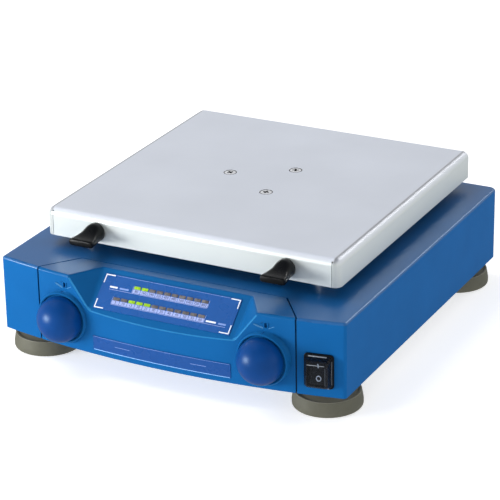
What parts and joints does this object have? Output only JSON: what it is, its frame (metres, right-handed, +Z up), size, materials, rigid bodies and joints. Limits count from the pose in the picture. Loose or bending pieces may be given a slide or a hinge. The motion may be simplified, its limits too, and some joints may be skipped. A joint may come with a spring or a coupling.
{
  "type": "orbital shaker",
  "caption": "Bench-top orbital shaker: square metal platform on an eccentric drive, bowed housing with display and two domed knobs, rocker switch, round rubber feet.",
  "frame": {"origin": "on the floor plane under the centre of the whole object's bounding box", "axes": "+X to the right seen from the front, +Y towards the rear, +Z up; the display faces -Y"},
  "size_m": [0.2734, 0.3058, 0.1005],
  "materials": {
    "housing_paint": "satin",
    "panel_paint": "satin",
    "display_film": "gloss",
    "nameplate_film": "gloss",
    "lamp_window": "gloss",
    "knob_plastic": "satin",
    "tray_steel": "brushed",
    "screw_steel": "polished",
    "black_plastic": "satin",
    "rocker_plastic": "gloss",
    "clear_boot": "gloss",
    "foot_rubber": "matte",
    "plated_steel": "satin",
    "cast_aluminium": "satin",
    "machined_steel": "satin",
    "bearing_steel": "polished",
    "circuit_board": "gloss",
    "transformer_core": "satin",
    "belt_rubber": "matte",
    "brass": "satin",
    "contact_metal": "polished",
    "fuse_glass": "gloss"
  },
  "bodies": {
    "root": {"housing_shell": "housing_paint", "front_panel": "panel_paint", "display_label": "display_film", "nameplate_label": "nameplate_film", "speed_lamps": "lamp_window", "timer_lamps": "lamp_window", "speed_pot": "plated_steel", "timer_pot": "plated_steel", "control_board": "circuit_board", "power_board": "circuit_board", "board_standoffs": "brass", "transformer": "transformer_core", "capacitors": "black_plastic", "switch_frame": "black_plastic", "switch_boot": "clear_boot", "base_plate": "plated_steel", "base_screws": "screw_steel", "foot_screws": "screw_steel", "motor_screws": "screw_steel", "mains_inlet": "black_plastic", "inlet_pins": "contact_metal", "motor_bracket": "cast_aluminium", "motor_case": "plated_steel", "motor_stator": "transformer_core", "drive_belt": "belt_rubber", "bearing_housing": "cast_aluminium", "main_bearing_outer_rings": "bearing_steel", "shaft_seal": "belt_rubber", "idler_posts": "cast_aluminium", "foot_front_left": "foot_rubber", "foot_front_right": "foot_rubber", "foot_rear_left": "foot_rubber", "foot_rear_right": "foot_rubber"},
    "drive_rotor": {"eccentric_shaft": "machined_steel", "drive_pulley": "machined_steel", "counterweight": "machined_steel", "bearing_inner_rings": "bearing_steel", "bearing_balls": "bearing_steel"},
    "platform": {"platform_tray": "tray_steel", "carrier_plate": "cast_aluminium", "platform_screws": "screw_steel", "guide_bushes": "brass", "pin_bearing_outer_ring": "bearing_steel", "lock_nuts": "screw_steel"},
    "motor_rotor": {"motor_rotor": "machined_steel", "motor_pulley": "cast_aluminium"},
    "speed_control": {"speed_knob": "knob_plastic", "speed_pot_shaft": "machined_steel"},
    "timer_control": {"timer_knob": "knob_plastic", "timer_pot_shaft": "machined_steel"},
    "power_rocker": {"power_rocker": "rocker_plastic"},
    "lock_left": {"lock_knob_left": "black_plastic"},
    "lock_right": {"lock_knob_right": "black_plastic"},
    "fuse_holder": {"fuse_drawer": "black_plastic", "fuses": "fuse_glass"},
    "idler_front_left": {"idler_crank_front_left": "machined_steel"},
    "idler_front_right": {"idler_crank_front_right": "machined_steel"},
    "idler_rear_left": {"idler_crank_rear_left": "machined_steel"},
    "idler_rear_right": {"idler_crank_rear_right": "machined_steel"}
  },
  "joints": [
    {"name": "drive_spin", "type": "hinge", "parent": "root", "child": "drive_rotor", "pos_m": [0, 0.026, 0.057], "axis": [0, 0, 1], "continuous": true},
    {"name": "platform_orbit", "type": "hinge", "parent": "drive_rotor", "child": "platform", "pos_m": [-0.0012, 0.0276, 0.0815], "axis": [0, 0, 1], "continuous": true},
    {"name": "motor_spin", "type": "hinge", "parent": "root", "child": "motor_rotor", "pos_m": [-0.062, 0.084, 0.057], "axis": [0, 0, 1], "continuous": true},
    {"name": "idler_spin_front_left", "type": "hinge", "parent": "root", "child": "idler_front_left", "pos_m": [-0.092, -0.062, 0.06], "axis": [0, 0, 1], "continuous": true},
    {"name": "idler_spin_front_right", "type": "hinge", "parent": "root", "child": "idler_front_right", "pos_m": [0.092, -0.062, 0.06], "axis": [0, 0, 1], "continuous": true},
    {"name": "idler_spin_rear_left", "type": "hinge", "parent": "root", "child": "idler_rear_left", "pos_m": [-0.092, 0.114, 0.06], "axis": [0, 0, 1], "continuous": true},
    {"name": "idler_spin_rear_right", "type": "hinge", "parent": "root", "child": "idler_rear_right", "pos_m": [0.092, 0.114, 0.06], "axis": [0, 0, 1], "continuous": true},
    {"name": "speed_knob_turn", "type": "hinge", "parent": "root", "child": "speed_control", "pos_m": [-0.0788, -0.14, 0.0399], "axis": [0, -1, 0], "range_deg": [-150, 150]},
    {"name": "timer_knob_turn", "type": "hinge", "parent": "root", "child": "timer_control", "pos_m": [0.0788, -0.14, 0.0399], "axis": [0, -1, 0], "range_deg": [-150, 150]},
    {"name": "power_rocker_tilt", "type": "hinge", "parent": "root", "child": "power_rocker", "pos_m": [0.117, -0.12551, 0.0356], "axis": [0.9841, 0.1778, 0], "range_deg": [-14, 0]},
    {"name": "lock_left_turn", "type": "hinge", "parent": "platform", "child": "lock_left", "pos_m": [-0.0752, -0.1, 0.0888], "axis": [0, -1, 0], "range_deg": [0, 180]},
    {"name": "lock_right_turn", "type": "hinge", "parent": "platform", "child": "lock_right", "pos_m": [0.0752, -0.1, 0.0888], "axis": [0, -1, 0], "range_deg": [0, 180]},
    {"name": "fuse_drawer_pull", "type": "slide", "parent": "root", "child": "fuse_holder", "axis": [0, 1, 0], "range_m": [0, 0.018]}
  ],
  "couplings": [
    {"joint": "platform_orbit", "follows": "drive_spin", "ratio": -1},
    {"joint": "motor_spin", "follows": "drive_spin", "ratio": 4},
    {"joint": "idler_spin_front_left", "follows": "drive_spin", "ratio": 1},
    {"joint": "idler_spin_front_right", "follows": "drive_spin", "ratio": 1},
    {"joint": "idler_spin_rear_left", "follows": "drive_spin", "ratio": 1},
    {"joint": "idler_spin_rear_right", "follows": "drive_spin", "ratio": 1}
  ]
}
